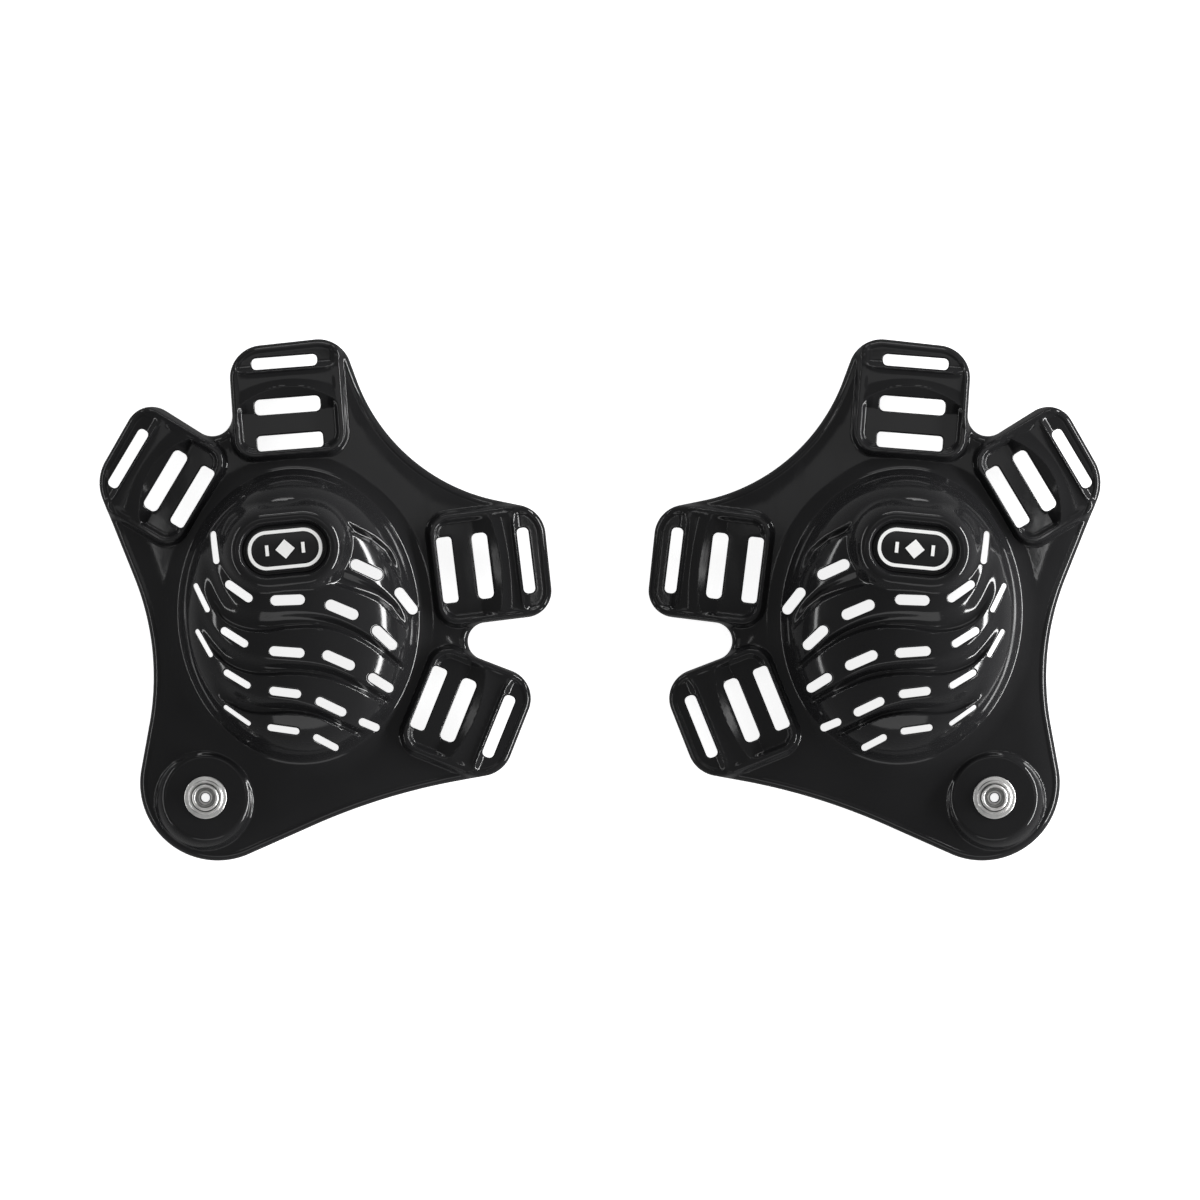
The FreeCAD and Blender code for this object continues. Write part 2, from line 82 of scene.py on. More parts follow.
# Strap tabs: middle of the inner edge, direction in degrees from +X, how much
# of the inner half shows from above, and how far the crest of its bar arches.
TABS = (
    (-2.6, 42.2, 94.5, 1, 2.3), (-28.5, 28.4, 149.3, 0.87, 2.5),
    (39.2, 8.1, 7, 0.98, 0.9), (34.4, -28.1, -22, 0.88, 1.2),
)
TAB_WIDTH = 35
TAB_CORNER = 7
SLOT_LENGTH = 19.8
# Place along the tab, width and corner radius.
SLOTS = ((5.1, 4.6, 1.1), (16, 4.7, 1.6), (29.1, 3.5, 1.4))
MIDDLE_SLOT_AT = SLOTS[1][0]

# Vents row by row, from the badge downwards: x, y, direction in degrees, length.
VENT_ROWS = (
    ((20.3, 8.8, -25, 10.2), (31.9, -0.6, -53, 9.3)),
    ((-25.1, 15.4, -82, 10), (-17.7, 2.3, -35, 9.6), (-3.1, -0.3, 2, 10.3), (13.0, -3.2, -23, 10.4),
     (25.6, -11.6, -44, 9.2)),
    ((-29.1, 0.4, -63, 9.6), (-19.1, -11.4, -32, 9.4), (-3.4, -15.8, -4, 10.6), (12.0, -18.3, -24, 10.3),
     (24.4, -25.1, -33, 8.4)),
    ((-28.4, -13.2, -60, 9.5), (-18.4, -23.9, -31, 9.2), (-4.0, -27.9, -7, 9.6), (9.6, -32.2, -26, 9.9),
     (20.8, -37.7, -24, 6.5)),
    ((-18.6, -34.8, -35, 9.8), (-4.7, -39.0, -8, 9.7), (7.9, -43.0, -29, 8.3)),
)
VENT_WIDTH = 3.3
# The oval on which a vent's width would shrink to nothing: middle x and y,
# then half its span across and along the guard.
VENT_FADE = (15, 5, 51, 64)

# Dome: an oval that shrinks and shifts as it rises. Its flank is fuller towards
# the top tab, and its foot meets the flange in a fillet.
DOME_ACROSS = 70.5
DOME_ALONG = 86
DOME_FOOT = (-0.4, -5.0)
DOME_TOP = (-5.0, 9.0)
DOME_TURN = 4
DOME_HEIGHT = 28
DOME_BASE = -3.4
DOME_FULLNESS = (2.15, 2.4)
DOME_FULLNESS_SPAN = (0, 34)
DOME_FILLET = 6.5


# ------------------------------------------------------------ small arithmetic

def smooth_max(a, b, width):
    """The larger of two heights, with their meeting rounded over a width."""
    overlap = np.maximum(width - np.abs(a - b), 0) / width
    return np.maximum(a, b) + overlap * overlap * width / 4


def smooth_min(a, b, width):
    return -smooth_max(-a, -b, width)


def blended(a, b):
    """Two rises from one ground as one: the larger, with a soft valley between."""
    return np.cbrt(a ** 3 + b ** 3)


def ramp(value, start, end):
    """0 before start, 1 after end, and a smooth step between."""
    share = np.clip((value - start) / (end - start), 0, 1)
    return share * share * (3 - 2 * share)


def mix(a, b, share):
    return a + (b - a) * share


def turned(x, y, centre, degrees):
    """Coordinates along and across a direction, from a centre."""
    angle = math.radians(degrees)
    dx = x - centre[0]
    dy = y - centre[1]
    along = dx * math.cos(angle) + dy * math.sin(angle)
    across = dy * math.cos(angle) - dx * math.sin(angle)
    return along, across


def slot_distance(x, y, slot):
    """Distance outside a slot with rounded corners; negative inside it."""
    slot_x, slot_y, degrees, length, width, corner = slot
    along, across = turned(x, y, (slot_x, slot_y), degrees)
    past_end = np.abs(along) - (length / 2 - corner)
    past_side = np.abs(across) - (width / 2 - corner)
    beyond = np.hypot(np.maximum(past_end, 0), np.maximum(past_side, 0))
    return beyond + np.minimum(np.maximum(past_end, past_side), 0) - corner


def nearest_slot(x, y, slots):
    return np.min([slot_distance(x, y, slot) for slot in slots], axis=0)


# ----------------------------------------------------------------- plan curves

def rounded_outline(corners, step):
    """Points along a closed outline of straight runs and tangent arcs."""
    arcs = []
    count = len(corners)
    for index, (x, y, radius) in enumerate(corners):
        corner = np.array((x, y), float)
        before = np.array(corners[index - 1][:2]) - corner
        after = np.array(corners[(index + 1) % count][:2]) - corner
        before /= np.linalg.norm(before)
        after /= np.linalg.norm(after)
        half_angle = math.acos(before @ after) / 2
        inward = (before + after) / np.linalg.norm(before + after)
        centre = corner + inward * radius / math.sin(half_angle)
        start = corner + before * radius / math.tan(half_angle) - centre
        end = corner + after * radius / math.tan(half_angle) - centre
        first = math.atan2(start[1], start[0])
        sweep = (math.atan2(end[1], end[0]) - first + math.pi) % (2 * math.pi) - math.pi
        pieces = max(LEAST_ARC_PIECES, int(abs(sweep) * radius / ARC_STEP))
        angles = first + sweep * np.arange(pieces + 1) / pieces
        arcs.append(centre + radius * np.stack((np.cos(angles), np.sin(angles)), 1))
    path = np.concatenate(arcs)
    return evenly_spaced(path, step)


def evenly_spaced(path, step):
    """A closed path walked again in equal steps."""
    closed = np.concatenate((path, path[:1]))
    lengths = np.concatenate(([0], np.cumsum(np.linalg.norm(np.diff(closed, axis=0), axis=1))))
    count = int(round(lengths[-1] / step))
    marks = np.arange(count) * lengths[-1] / count
    return np.stack([np.interp(marks, lengths, closed[:, axis]) for axis in (0, 1)], 1)


def inward_normals(path):
    """Unit normals of a clockwise closed path, pointing inside."""
    heading = np.roll(path, -1, 0) - np.roll(path, 1, 0)
    heading /= np.linalg.norm(heading, axis=1)[:, None]
    return np.stack((heading[:, 1], -heading[:, 0]), 1)


def slot_loop(slot, grow, count):
    """Points round a slot grown all round by a distance.

    Every loop of one slot has its points at the same places round it.
    """
    x, y, degrees, length, width, corner = slot
    half_along = length / 2 - corner
    half_across = width / 2 - corner
    quarter = math.pi / 2
    arc = math.pi * corner / 2
    # Runs in order: half a side, then corner and side alternately.
    corners = (
        (half_along, half_across), (-half_along, half_across),
        (-half_along, -half_across), (half_along, -half_across),
    )
    sides = (2 * half_along, 2 * half_across, 2 * half_along, 2 * half_across)
    rim = 4 * (arc + half_along + half_across)
    points = []
    for mark in np.arange(count) * rim / count - half_across:
        turn = 0
        while turn < 3 and mark > arc + sides[turn]:
            mark -= arc + sides[turn]
            turn += 1
        angle = turn * quarter + (min(max(mark, 0) / arc, 1) * quarter if arc > 0 else quarter)
        run = mark if mark < 0 else max(mark - arc, 0)
        heading = turn * quarter if mark < 0 else (turn + 1) * quarter
        centre = corners[turn]
        # Runs head at a right angle to the way that their side faces.
        along = centre[0] + (corner + grow) * math.cos(angle) - run * math.sin(heading)
        across = centre[1] + (corner + grow) * math.sin(angle) + run * math.cos(heading)
        points.append((along, across))
    points = np.array(points)
    turn = math.radians(degrees)
    forward = np.array((math.cos(turn), math.sin(turn)))
    sideways = np.array((-forward[1], forward[0]))
    return np.array((x, y)) + points[:, :1] * forward + points[:, 1:] * sideways


def along_tab(place, lean):
    """Plan distance from a tab's inner edge: lean shortens the inner half."""
    return np.minimum(place, MIDDLE_SLOT_AT) * lean + np.maximum(place - MIDDLE_SLOT_AT, 0)


def place_on_tab(plan_distance, lean):
    """The other way round: place along the tab from a plan distance."""
    middle = MIDDLE_SLOT_AT * lean
    return np.where(plan_distance < middle, plan_distance / lean, plan_distance - middle + MIDDLE_SLOT_AT)


def round_ended(x, y, degrees, length, width):
    return (x, y, degrees, length, width, width / 2)


def strap_slots():
    slots = []
    for x, y, degrees, lean, _arch in TABS:
        turn = math.radians(degrees)
        for place, width, corner in SLOTS:
            reach = along_tab(place, lean)
            centre = (x + reach * math.cos(turn), y + reach * math.sin(turn))
            slots.append((*centre, degrees + 90, SLOT_LENGTH, width, corner))
    return slots


def vent_slots():
    """Vents, narrower in plan where the dome falls away beneath them."""
    fade_x, fade_y, half_x, half_y = VENT_FADE
    slots = []
    for row in VENT_ROWS:
        for x, y, degrees, length in row:
            fall = ((x - fade_x) / half_x) ** 2 + ((y - fade_y) / half_y) ** 2
            slots.append(round_ended(x, y, degrees, length, VENT_WIDTH * math.sqrt(1 - fall)))
    return slots


EDGE = rounded_outline(EDGE_CORNERS, EDGE_STEP)
EDGE_INWARD = inward_normals(EDGE)
STRAP_SLOTS = strap_slots()
VENTS = vent_slots()
SNAP_HOLE = round_ended(*SNAP, 0, SNAP_BORE, SNAP_BORE)
BADGE_PLATE = round_ended(*BADGE, BADGE_TURN, PLATE_LENGTH, PLATE_WIDTH)


# Points worked out at once, and how squarely a point must lie off the edge for
# its distance to be measured along the edge's normal.
BATCH = 4000
SQUARE_ON = 0.6


def edge_depth(x, y):
    """Distance inside the guard's edge; negative outside it."""
    depth = np.empty(len(x))
    for start in range(0, len(x), BATCH):
        part = slice(start, start + BATCH)
        dx = x[part, None] - EDGE[None, :, 0]
        dy = y[part, None] - EDGE[None, :, 1]
        nearest = np.argmin(dx * dx + dy * dy, axis=1)
        rows = np.arange(len(nearest))
        normal = EDGE_INWARD[nearest]
        across = dx[rows, nearest] * normal[:, 0] + dy[rows, nearest] * normal[:, 1]
        reach = np.hypot(dx[rows, nearest], dy[rows, nearest])
        depth[part] = np.where(np.abs(across) > SQUARE_ON * reach, across, np.sign(across) * reach)
    return depth


# ----------------------------------------------------------- heights of a shell

# Each flute: the row of vents above it (the first lies above them all), its
# left and right ends in x, then where its lower edge runs, as pairs of x and
# the share of the way from the row above to the row below.
FLUTES = (
    (-1, 9, 31, ((12, 0.38), (22, 0.41), (29.4, 0.7))),
    (0, 5, 33, ((7.5, 0.65), (24, 0.455), (30, 0.5))),
    (1, -31, 33, ((-30, 0.92), (-22, 0.85), (-4, 0.57), (12, 0.46), (20, 0.42))),
    (2, -31, 30.5, ((-30, 0.92), (-22, 0.85), (-4, 0.57), (10, 0.46), (18, 0.42))),
    (3, -27, 24.5, ((-26, 0.9), (-20, 0.85), (-4, 0.57), (6, 0.44), (12, 0.42))),
)
FLUTE_START = 0.16
FLUTE_DEPTH = 1.8
FLUTE_ROUNDING = 0.14
FLUTE_RUN_IN = 9
FLUTE_RUN_OUT = 5
FLUTE_FOOT = (0.90, 1.02)
# Makes the deepest place of the section x * x * (1 - x) equal to 1.
SECTION_SCALE = 27 / 4
TOP_ROW_GAP = 14
STEEPEST_ROW = 4

CROWN_WIDTH = 9.0
CROWN_HEIGHT = 1.1
CROWN_TO_TAB = (-4, 2)

# How far below the flange and above the dome its height is looked for, and how
# many times that span is halved.
SEARCH_BELOW = 3.0
SEARCH_ABOVE = 4.0
HALVINGS = 24


def flange(x, y):
    """Outer face of the flange, part of a large ball."""
    return np.sqrt(FLANGE_RADIUS ** 2 - x * x - y * y) - FLANGE_RADIUS


def tab_place(x, y, tab):
    """Place along a tab, place across it, and distance inside its outline."""
    tab_x, tab_y, degrees, lean, _arch = tab
    reach, across = turned(x, y, (tab_x, tab_y), degrees)
    past_side = np.abs(across) - (TAB_WIDTH / 2 - TAB_CORNER)
    past_end = TAB_CORNER - reach
    rounded = np.hypot(past_side, past_end)
    straight = np.maximum(past_side, past_end)
    inside = TAB_CORNER - np.where((past_side > 0) & (past_end > 0), rounded, straight)
    return place_on_tab(reach, lean), across, inside


def crown(x, y, depth):
    """The flange swells gently inwards from its edge, but not across the tabs."""
    swell = 1 - (1 - np.clip(depth / CROWN_WIDTH, 0, 1)) ** 2
    on_tab = np.max([tab_place(x, y, tab)[2] for tab in TABS], axis=0)
    return CROWN_HEIGHT * mix(swell, 1, ramp(on_tab, *CROWN_TO_TAB))


def dome(x, y, ground, inset):
    """Height of the dome blended into the ground; inset gives its inner face."""
    across = DOME_ACROSS / 2 - inset
    along = DOME_ALONG / 2 - inset
    base = DOME_BASE - inset
    top = DOME_HEIGHT - inset
    low = ground - SEARCH_BELOW
    high = np.full_like(ground, DOME_HEIGHT + SEARCH_ABOVE)
    fullness = mix(*DOME_FULLNESS, ramp(y, *DOME_FULLNESS_SPAN))
    for _ in range(HALVINGS):
        level = (low + high) / 2
        rise = np.clip((level - base) / (top - base), 0, 1)
        reach = (1 - rise ** fullness) ** (1 / fullness)
        shift = rise ** 3
        centre = (mix(DOME_FOOT[0], DOME_TOP[0], shift), mix(DOME_FOOT[1], DOME_TOP[1], shift))
        side, length = turned(x, y, centre, DOME_TURN)
        outside = (np.hypot(side / across, length / along) - reach) * (across + along) / 2
        beyond = smooth_min(outside, level - ground, DOME_FILLET)
        high = np.where(beyond > 0, level, high)
        low = np.where(beyond > 0, low, level)
    return (low + high) / 2


def dome_reach(x, y):
    """Distance from the dome's middle: 1 on the oval of its foot."""
    side, length = turned(x, y, DOME_FOOT, DOME_TURN)
    return np.hypot(side / (DOME_ACROSS / 2), length / (DOME_ALONG / 2))


def row_curve(row, x):
    """The smooth line through one row of vents, as y for each x."""
    knots = []
    for vent_x, vent_y, degrees, _length in row:
        knots.append((vent_x, vent_y, max(-STEEPEST_ROW, math.tan(math.radians(degrees)))))
    first_x, first_y, first_slope = knots[0]
    last_x, last_y, last_slope = knots[-1]
    before = first_y + (x - first_x) * first_slope
    after = last_y + (x - last_x) * last_slope
    y = np.where(x < first_x, before, after)
    for (x0, y0, slope0), (x1, y1, slope1) in zip(knots, knots[1:]):
        span = x1 - x0
        share = np.clip((x - x0) / span, 0, 1)
        square = share * share
        cube = square * share
        arc = (y0 * (2 * cube - 3 * square + 1) + y1 * (3 * square - 2 * cube)
               + span * slope0 * (cube - 2 * square + share) + span * slope1 * (cube - square))
        y = np.where((x >= x0) & (x <= x1), arc, y)
    return y


def flute_section():
    """Depth across a flute, from a gentle start to its rounded lower edge."""
    places = np.linspace(-0.2, 1.3, 601)
    inside = np.clip(places, 0, 1)
    sharp = SECTION_SCALE * inside * inside * (1 - inside)
    reach = int(FLUTE_ROUNDING / (places[1] - places[0]) / 2)
    weights = np.hanning(2 * reach + 3)[1:-1]
    return places, np.convolve(sharp, weights / weights.sum(), "same")


FLUTE_SECTION = flute_section()


def flutes(x, y):
    """Depth of the scooped flutes between the rows of vents."""
    rows = [row_curve(row, x) for row in VENT_ROWS]
    rows.insert(0, rows[0] + TOP_ROW_GAP)
    depth = np.zeros_like(x)
    for upper_row, left, right, lower_edge in FLUTES:
        upper = rows[upper_row + 1]
        lower = rows[upper_row + 2]
        share = (upper - y) / (upper - lower)
        end = np.interp(x, *zip(*lower_edge))
        scoop = np.interp((share - FLUTE_START) / (end - FLUTE_START), *FLUTE_SECTION)
        fade = ramp(x, left, left + FLUTE_RUN_IN) * (1 - ramp(x, right - FLUTE_RUN_OUT, right))
        depth = np.maximum(depth, scoop * fade)
    return depth * FLUTE_DEPTH * (1 - ramp(dome_reach(x, y), *FLUTE_FOOT))


# Tab heights above the flange: rim, tray at the inner half, crest of the bar,
# rail at the outer end. Then places along a tab, and shapes about them.
TAB_RIM = 2.6
TAB_TRAY = 0.5
TAB_BAR = 2.8
TAB_RAIL = 1.5
RIM_DROP = 0.5
FOLD_AT = 14.3
CREST_AT = 21.6
CREASE_AT = 26.6
SHORTEST_FOLD = 0.8
BAR_SAG = 0.45
SAG_START = 0.5
RAIL_START = (0.2, 2.2)
RIM_DROP_SPAN = 3
RIDGE_HEIGHT = 0.45
RIDGE_WIDTH = 0.42
RIDGE_SHIFT = 0.5
RIDGE_ENDS = (11.5, 14.5)
RIM_INNER = (2.2, 3.9)
RIM_OUTER = (-0.6, 1.4)


def tab_relief(x, y):
    """How far the strap tabs stand above the flange."""
    relief = np.zeros_like(x)
    for tab in TABS:
        place, across, inside = tab_place(x, y, tab)
        crest = CREST_AT - tab[-1] * (across / 10) ** 2
        to_crest = np.clip((place - FOLD_AT) / np.maximum(crest - FOLD_AT, SHORTEST_FOLD), 0, 1)
        along_bar = np.clip((place - crest) / (CREASE_AT - crest), 0, 1)
        sag = BAR_SAG * np.sin(math.pi * along_bar) * ramp(place, crest, crest + SAG_START)
        floor = mix(TAB_TRAY, TAB_BAR, to_crest) - sag
        floor = mix(floor, TAB_RAIL, ramp(place, CREASE_AT + RAIL_START[0], CREASE_AT + RAIL_START[1]))
        ridge = np.exp(-((place - CREASE_AT) / RIDGE_WIDTH) ** 2)
        ridge = ridge * (1 - ramp(np.abs(across + RIDGE_SHIFT), *RIDGE_ENDS))
        floor = floor + RIDGE_HEIGHT * ridge
        rail = ramp(place, CREASE_AT, CREASE_AT + RIM_DROP_SPAN)
        brim = mix(TAB_RIM, TAB_RIM - RIM_DROP, rail)
        height = mix(brim, floor, ramp(inside, *RIM_INNER)) * ramp(inside, *RIM_OUTER)
        relief = np.maximum(relief, height)
    return relief


# Badge surround, by distance outside the plate: its wall, its height above the
# pocket's floor, and where and how fast its outer side falls.
SURROUND_WALL = (0.35, 2.1)
SURROUND_HEIGHT = 1.75
SURROUND_EDGE = 2.7
SURROUND_FALL = 0.3
SURROUND_CLEAR = 2
SURROUND_BLEND = 2.0


def badge_boss(x, y):
    """Height of the badge's surround and pocket, and the distance outside the plate."""
    out = slot_distance(x, y, BADGE_PLATE)
    wall = SURROUND_HEIGHT * ramp(out, *SURROUND_WALL)
    level = PLATE_FLOOR + wall - SURROUND_FALL * np.maximum(out - SURROUND_EDGE, 0) ** 2
    return level, out


# Snap boss: radius of its flat seat, how fast its shoulder falls, how far out it
# counts, and how softly it meets the flange.
BOSS_ROUND = 11.9
BOSS_FALL = 0.42
BOSS_REACH = 18
BOSS_BLEND = 1.2

# Flutes are cut square to the dome's face, by its slope over this step.
SLOPE_STEP = 0.4
STEEPEST_CUT = 2

# The flange's swell fades out over the first rise of the dome.
SWELL_FADE = (0, 3)

EDGE_BEAD = 0.4
BEAD_FALL = (1.3, 2.6)
EDGE_ROUNDING = 1.7
SLOT_ROUNDING = 0.5
VENT_ROUNDING = 0.45

# Inner face: rounding of its edge, how deep the flutes show through, the recess
# behind the snap boss, and the least wall anywhere.
UNDER_ROUNDING = 0.5
UNDER_FLUTES = 0.8
RECESS_DEPTH = 2.4
RECESS_WALL = (8.6, 9.6)
RECESS_REACH = 10
LEAST_WALL = 0.9


def outer_face(x, y, depth):
    """Height of the guard's outer face before its edges are rounded."""
    swell = crown(x, y, depth)
    ground = flange(x, y)
    cap = dome(x, y, ground, 0)
    step = SLOPE_STEP
    rise_x = dome(x + step, y, flange(x + step, y), 0) - cap
    rise_y = dome(x, y + step, flange(x, y + step), 0) - cap
    lean = np.minimum(np.hypot(1, np.hypot(rise_x, rise_y) / step), STEEPEST_CUT)
    cap = cap - flutes(x, y) * lean
    level, out = badge_boss(x, y)
    cap = np.where(out < SURROUND_CLEAR, level, smooth_max(cap, level, SURROUND_BLEND))
    rise = np.maximum(cap - ground, 0)
    height = ground + blended(rise, tab_relief(x, y)) + swell * (1 - ramp(rise, *SWELL_FADE))
    from_snap = np.hypot(x - SNAP[0], y - SNAP[1])
    boss = SNAP_SEAT - BOSS_FALL * np.maximum(from_snap - BOSS_ROUND, 0) ** 2
    return np.where(from_snap < BOSS_REACH, smooth_max(height, boss, BOSS_BLEND), height)


def rounded_off(distance, radius):
    """How far a rounded edge has dropped at a distance in from it."""
    inward = np.clip(radius - distance, 0, radius)
    return radius - np.sqrt(np.maximum(radius * radius - inward * inward, 0))


def top_height(x, y):
    """Height of the finished outer face."""
    depth = edge_depth(x, y)
    bead = EDGE_BEAD * (1 - ramp(depth, *BEAD_FALL))
    drop = rounded_off(depth, EDGE_ROUNDING)
    drop = drop + rounded_off(nearest_slot(x, y, STRAP_SLOTS), SLOT_ROUNDING)
    drop = drop + rounded_off(nearest_slot(x, y, VENTS), VENT_ROUNDING)
    return outer_face(x, y, depth) + bead - drop


def under_height(x, y):
    """Height of the inner face."""
    depth = edge_depth(x, y)
    ground = flange(x, y) - WALL
    ceiling = dome(x, y, ground, WALL)
    swell = crown(x, y, depth) * (1 - ramp(ceiling - ground, *SWELL_FADE))
    ceiling = ceiling + swell - UNDER_FLUTES * flutes(x, y)
    from_snap = np.hypot(x - SNAP[0], y - SNAP[1])
    recess = mix(SNAP_SEAT - RECESS_DEPTH, ground, ramp(from_snap, *RECESS_WALL))
    ceiling = np.where(from_snap < RECESS_REACH, recess, ceiling)
    return np.minimum(ceiling + rounded_off(depth, UNDER_ROUNDING), outer_face(x, y, depth) - LEAST_WALL)


# --------------------------------------------------------------- shell meshing

def grid_points(spacing, keep):
    """A triangular grid over the guard, thinned by a test."""
    rows = []
    height = spacing * math.sqrt(3) / 2
    low = EDGE.min(0)
    high = EDGE.max(0)
    for index, y in enumerate(np.arange(low[1], high[1], height)):
        x = np.arange(low[0] + (index % 2) * spacing / 2, high[0], spacing)
        rows.append(np.stack((x, np.full_like(x, y)), 1))
    points = np.concatenate(rows)
    return points[keep(points[:, 0], points[:, 1])]


# Ovals of mesh points round the dome's foot, closest where it turns sharpest.
FOOT_OVALS = np.concatenate((
    np.arange(0.84, 0.9, 0.0105), np.arange(0.9, 1.02, 0.0048), np.arange(1.02, 1.13, 0.0105),
))
FOOT_POINTS = 400
FOOT_MARGIN = 0.005
FOOT_CLEARANCE = 0.4

# Zones of the outer face, and the spacing of the mesh in those with a plain grid.
FLANGE_ZONE, DOME_ZONE, RELIEF_ZONE, FOOT_ZONE = range(4)
SPACINGS = ((FLANGE_ZONE, 0.95), (DOME_ZONE, 0.44), (RELIEF_ZONE, 0.45))
UNDER_SPACING = 1.3
TAB_MARGIN = 1.5
SNAP_ZONE = 19.5
BADGE_ZONE = (-0.5, 6.5)


def foot_points():
    """Points on ovals round the dome's foot, where the face turns upwards."""
    turn = math.radians(DOME_TURN)
    ovals = []
    for index, reach in enumerate(FOOT_OVALS):
        angles = (np.arange(FOOT_POINTS) + index % 2 / 2) * 2 * math.pi / FOOT_POINTS
        side = reach * DOME_ACROSS / 2 * np.cos(angles)
        length = reach * DOME_ALONG / 2 * np.sin(angles)
        x = DOME_FOOT[0] + side * math.cos(turn) - length * math.sin(turn)
        y = DOME_FOOT[1] + side * math.sin(turn) + length * math.cos(turn)
        ovals.append(np.stack((x, y), 1))
    return np.concatenate(ovals)


def detail_zone(x, y):
    """Which zone of the outer face each point is in; a later rule wins."""
    zone = np.full(len(x), FLANGE_ZONE)
    reach = dome_reach(x, y)
    zone[reach < FOOT_OVALS[0]] = DOME_ZONE
    zone[(reach > FOOT_OVALS[0] - FOOT_MARGIN) & (reach < FOOT_OVALS[-1] + FOOT_MARGIN)] = FOOT_ZONE
    for tab_x, tab_y, degrees, _lean, _arch in TABS:
        reach, across = turned(x, y, (tab_x, tab_y), degrees)
        zone[(reach > -TAB_MARGIN) & (np.abs(across) < TAB_WIDTH / 2 + TAB_MARGIN)] = RELIEF_ZONE
    zone[np.hypot(x - SNAP[0], y - SNAP[1]) < SNAP_ZONE] = DOME_ZONE
    badge = slot_distance(x, y, BADGE_PLATE)
    zone[(badge > BADGE_ZONE[0]) & (badge < BADGE_ZONE[1])] = RELIEF_ZONE
    return zone


def loop_edges(start, count):
    return [(start + index, start + (index + 1) % count) for index in range(count)]


MERGE_WITHIN = 1e-5


class Sheet:
    """Points and fixed lines for one triangulated face of the shell."""

    def __init__(self):
        self.points = []
        self.edges = []

    def add_loop(self, loop):
        self.edges += loop_edges(len(self.points), len(loop))
        self.points += [tuple(point) for point in loop]

    def add_points(self, points):
        self.points += [tuple(point) for point in points]

    def triangles(self):
        corners = [Vector(point) for point in self.points]
        found = delaunay_2d_cdt(corners, self.edges, [], 0, MERGE_WITHIN, False)
        points = np.array([tuple(point) for point in found[0]])
        faces = np.array([face for face in found[2] if len(face) == 3])
        middle = points[faces].mean(1)
        inside = edge_depth(middle[:, 0], middle[:, 1]) > 0
        open_space = nearest_slot(middle[:, 0], middle[:, 1], HOLES) < 0
        faces = faces[inside & ~open_space]
        a, b, c = (points[faces[:, corner]] for corner in range(3))
        area = (b[:, 0] - a[:, 0]) * (c[:, 1] - a[:, 1]) - (b[:, 1] - a[:, 1]) * (c[:, 0] - a[:, 0])
        faces[area < 0] = faces[area < 0][:, ::-1]
        used = np.unique(faces)
        renumber = np.full(len(points), -1)
        renumber[used] = np.arange(len(used))
        return points[used], renumber[faces]


# Rings of mesh points, by distance in from an edge or out from a hole, by
# radius about the snap, and by distance outside the badge plate.
HOLES = STRAP_SLOTS + VENTS + [SNAP_HOLE]
HOLE_POINTS = [88] * len(STRAP_SLOTS) + [44] * len(VENTS) + [36]
EDGE_RINGS = (0.2, 0.5, 0.9, 1.3, 1.7, 2.1, 2.6)
HOLE_RINGS = (0.12, 0.3, 0.5)
SNAP_RINGS = (11.6, 11.9, 12.1, 12.3, 12.55, 12.85, 13.2, 13.6, 14.0, 14.4, 14.9)
BADGE_RINGS = (-0.4, 0.3, 0.55, 0.85, 1.15, 1.45, 1.75, 2.1, 2.5, 2.9, 3.3)
SNAP_RING_POINTS = 160
BADGE_RING_POINTS = 130
RING_GAP = 0.3
GRID_CLEARANCE = 0.6


def boundary_loops():
    loops = [EDGE]
    for hole, count in zip(HOLES, HOLE_POINTS):
        loops.append(slot_loop(hole, 0, count))
    return loops


def face_sheet(fine):
    """The plan mesh of one face; the outer one has rings along every edge."""
    sheet = Sheet()
    for loop in boundary_loops():
        sheet.add_loop(loop)
    if fine:
        for ring in EDGE_RINGS:
            sheet.add_loop(EDGE + EDGE_INWARD * ring)
        for hole, count in zip(HOLES, HOLE_POINTS):
            for ring in HOLE_RINGS:
                sheet.add_loop(slot_loop(hole, ring, count))
        for ring in SNAP_RINGS:
            sheet.add_loop(slot_loop(round_ended(*SNAP, 0, 2 * ring, 2 * ring), 0, SNAP_RING_POINTS))
        for ring in BADGE_RINGS:
            sheet.add_loop(slot_loop(BADGE_PLATE, ring, BADGE_RING_POINTS))

    def clear(x, y, spacing):
        """Whether points keep clear of every edge and ring."""
        gap = spacing * GRID_CLEARANCE
        keep = edge_depth(x, y) > (EDGE_RINGS[-1] if fine else 0) + gap
        keep &= nearest_slot(x, y, HOLES) > (HOLE_RINGS[-1] if fine else 0) + gap
        if fine:
            from_snap = np.hypot(x - SNAP[0], y - SNAP[1])
            keep &= (from_snap < SNAP_RINGS[0] - RING_GAP) | (from_snap > SNAP_RINGS[-1] + RING_GAP)
            badge = slot_distance(x, y, BADGE_PLATE)
            keep &= (badge < BADGE_RINGS[0] - RING_GAP) | (badge > BADGE_RINGS[-1] + RING_GAP)
        return keep

    if fine:
        foot = foot_points()
        on_foot = detail_zone(foot[:, 0], foot[:, 1]) == FOOT_ZONE
        sheet.add_points(foot[on_foot & clear(foot[:, 0], foot[:, 1], FOOT_CLEARANCE)])
        for zone, spacing in SPACINGS:
            sheet.add_points(grid_points(
                spacing, lambda x, y: (detail_zone(x, y) == zone) & clear(x, y, spacing)))
    else:
        sheet.add_points(grid_points(UNDER_SPACING, lambda x, y: clear(x, y, UNDER_SPACING)))
    return sheet.triangles()


# Step for measuring a slope, and how close to an edge or hole a vertex counts
# as on it: there Blender works out the normal itself.
NORMAL_STEP = 0.06
ON_EDGE = 0.1
ON_HOLE = 0.06


